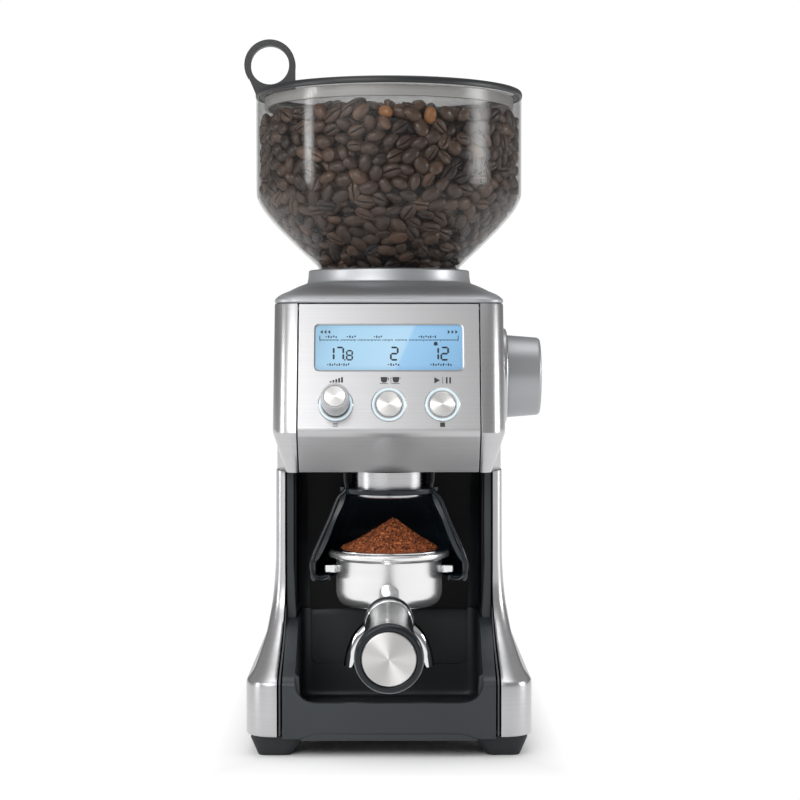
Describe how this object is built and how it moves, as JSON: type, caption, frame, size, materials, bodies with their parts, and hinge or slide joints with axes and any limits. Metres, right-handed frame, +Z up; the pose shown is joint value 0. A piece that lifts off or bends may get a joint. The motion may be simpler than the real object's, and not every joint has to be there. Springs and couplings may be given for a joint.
{
  "type": "burr coffee grinder",
  "caption": "Upright burr coffee grinder with a bean hopper, display fascia, side grind-size dial, portafilter cradle with a seated portafilter, and a pull-out grinds tray.",
  "frame": {"origin": "on the counter at the centre of the bounding box, which takes in the seated portafilter's handle and the side dial", "axes": "+X to the user's right, +Y to the back, +Z up; the control fascia faces -Y"},
  "size_m": [0.1677, 0.3396, 0.3862],
  "materials": {
    "brushed_steel": "brushed, fine horizontal grain",
    "chrome": "polished",
    "black_plastic": "fine matte grain",
    "gloss_black": "glossy",
    "grey_plastic": "satin",
    "silver_plastic": "satin silver",
    "smoky_plastic": "tinted clear",
    "display": "backlit blue display",
    "backlight": "lit translucent",
    "rubber": "matte",
    "coffee_beans": "roasted, slightly oily",
    "ground_coffee": "granular",
    "machined_metal": "machined",
    "circuit_board": "solder mask",
    "white_nylon": "moulded"
  },
  "bodies": {
    "housing": {"side_skin_left": "brushed_steel", "side_skin_right": "brushed_steel", "fascia_panel": "brushed_steel", "top_cover": "brushed_steel", "rear_cover": "brushed_steel", "cord_gland": "rubber", "base_plate": "grey_plastic", "foot_front_left": "rubber", "foot_front_right": "rubber", "foot_rear_left": "rubber", "foot_rear_right": "rubber", "bay_frame": "grey_plastic", "light_ring_amount": "backlight", "light_ring_shots": "backlight", "light_ring_start": "backlight", "lcd_window": "display", "lcd_module": "black_plastic", "control_board": "circuit_board", "switch_carrier": "black_plastic", "gearbox_housing": "grey_plastic", "gearbox_cover": "grey_plastic", "motor": "machined_metal", "chassis": "grey_plastic", "grind_chamber": "black_plastic", "dial_bezel": "brushed_steel", "chute": "black_plastic", "outlet_spout": "black_plastic", "outlet_ring": "brushed_steel", "cradle": "gloss_black", "hopper_seat": "grey_plastic"},
    "tray": {"grinds_tray": "grey_plastic"},
    "amount_knob": {"grind_amount_knob": "black_plastic"},
    "shots_key": {"shots_button": "brushed_steel"},
    "start_key": {"start_button": "brushed_steel"},
    "burr_drive": {"drive_gear": "white_nylon", "burr_shaft": "machined_metal", "cone_burr": "machined_metal", "impeller": "white_nylon"},
    "idler": {"idler_gear": "white_nylon"},
    "motor_rotor": {"motor_pinion": "machined_metal"},
    "dial": {"grind_size_dial": "silver_plastic", "dial_shaft": "white_nylon"},
    "burr_adjuster": {"adjust_ring": "white_nylon", "ring_burr": "machined_metal"},
    "switch": {"switch_plunger": "black_plastic"},
    "portafilter": {"portafilter_body": "chrome", "filter_basket": "chrome", "ground_coffee": "ground_coffee", "double_spout": "chrome", "handle_ferrule": "chrome", "portafilter_handle": "black_plastic", "handle_end_cap": "brushed_steel"},
    "hopper_unit": {"hopper": "smoky_plastic", "hopper_wall": "smoky_plastic", "bean_fill": "coffee_beans"},
    "hopper_gate_unit": {"hopper_gate": "black_plastic", "hopper_lock_knob": "black_plastic"},
    "lid": {"lid_disc": "smoky_plastic", "lid_skirt": "smoky_plastic", "lid_rim": "black_plastic"}
  },
  "joints": [
    {"name": "tray_slide", "type": "slide", "parent": "housing", "child": "tray", "axis": [0, -1, 0], "range_m": [0, 0.14]},
    {"name": "amount_knob_turn", "type": "hinge", "parent": "housing", "child": "amount_knob", "pos_m": [-0.028, -0.0352, 0.18429], "axis": [0, -0.9555, 0.2951], "continuous": true},
    {"name": "shots_press", "type": "slide", "parent": "housing", "child": "shots_key", "axis": [0, 0.9555, -0.2951], "range_m": [0, 0.0014], "stiffness_N_per_m": 600},
    {"name": "start_press", "type": "slide", "parent": "housing", "child": "start_key", "axis": [0, 0.9555, -0.2951], "range_m": [0, 0.0014], "stiffness_N_per_m": 600},
    {"name": "burr_spin", "type": "hinge", "parent": "housing", "child": "burr_drive", "pos_m": [0, 0.058, 0.173], "axis": [0, 0, 1], "continuous": true},
    {"name": "idler_spin", "type": "hinge", "parent": "housing", "child": "idler", "pos_m": [0, 0.095, 0.173], "axis": [0, 0, 1], "continuous": true},
    {"name": "motor_spin", "type": "hinge", "parent": "housing", "child": "motor_rotor", "pos_m": [0, 0.114, 0.173], "axis": [0, 0, 1], "continuous": true},
    {"name": "burr_adjust", "type": "hinge", "parent": "housing", "child": "burr_adjuster", "pos_m": [0, 0.058, 0.215], "axis": [0, 0, 1], "range_deg": [-180, 180]},
    {"name": "grind_size_turn", "type": "hinge", "parent": "housing", "child": "dial", "pos_m": [0.075, 0.058, 0.196], "axis": [1, 0, 0], "range_deg": [-165, 720]},
    {"name": "switch_press", "type": "slide", "parent": "housing", "child": "switch", "axis": [0, 1, 0], "range_m": [0, 0.003], "stiffness_N_per_m": 300},
    {"name": "portafilter_slide", "type": "slide", "parent": "housing", "child": "portafilter", "axis": [0, -1, 0], "range_m": [0, 0.12]},
    {"name": "hopper_lift", "type": "slide", "parent": "housing", "child": "hopper_unit", "axis": [0, 0, 1], "range_m": [0, 0.06]},
    {"name": "hopper_lock_turn", "type": "hinge", "parent": "hopper_unit", "child": "hopper_gate_unit", "pos_m": [0, 0.058, 0.25], "axis": [0, 0, 1], "range_deg": [0, 90]},
    {"name": "lid_lift", "type": "slide", "parent": "hopper_unit", "child": "lid", "axis": [0, 0, 1], "range_m": [0, 0.06]}
  ],
  "couplings": [
    {"joint": "idler_spin", "follows": "burr_spin", "ratio": -1.8462},
    {"joint": "motor_spin", "follows": "burr_spin", "ratio": 4},
    {"joint": "burr_adjust", "follows": "grind_size_turn", "ratio": -0.2}
  ]
}
